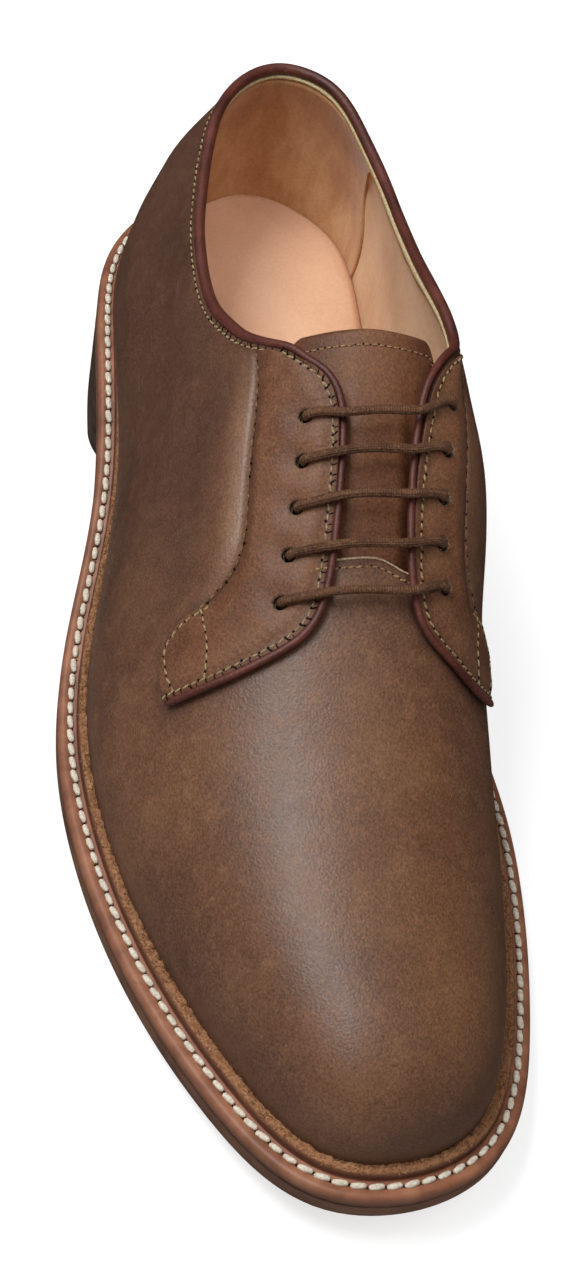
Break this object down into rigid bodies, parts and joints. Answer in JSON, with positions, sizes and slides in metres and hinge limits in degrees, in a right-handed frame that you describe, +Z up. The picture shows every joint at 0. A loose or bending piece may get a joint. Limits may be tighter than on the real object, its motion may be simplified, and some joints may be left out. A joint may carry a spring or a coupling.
{
  "type": "plain toe derby shoe",
  "caption": "Right plain toe derby with a hollow leather upper, open laced facings with bound edges, storm welt, leather sole and block heel.",
  "frame": {"origin": "middle of the shoe's box, on the floor it stands on", "axes": "+Z up, toe towards -Y, heel towards +Y, medial side towards +X"},
  "size_m": [0.11, 0.3068, 0.1021],
  "materials": {
    "sole_edge": "dark brown, burnished edge",
    "heel_block": "near black, burnished",
    "welt_leather": "reddish tan, satin",
    "insole_leather": "pale tan, matt",
    "upper_leather": "mid brown waxed, satin",
    "binding_leather": "red-brown, polished",
    "lace_cord": "brown waxed cotton"
  },
  "bodies": {
    "root": {"outsole": "sole_edge", "heel": "heel_block", "welt": "welt_leather", "insole": "insole_leather", "upper": "upper_leather", "facing_lateral": "upper_leather", "facing_medial": "upper_leather", "tongue": "upper_leather", "binding": "binding_leather", "lace": "lace_cord"}
  },
  "joints": []
}
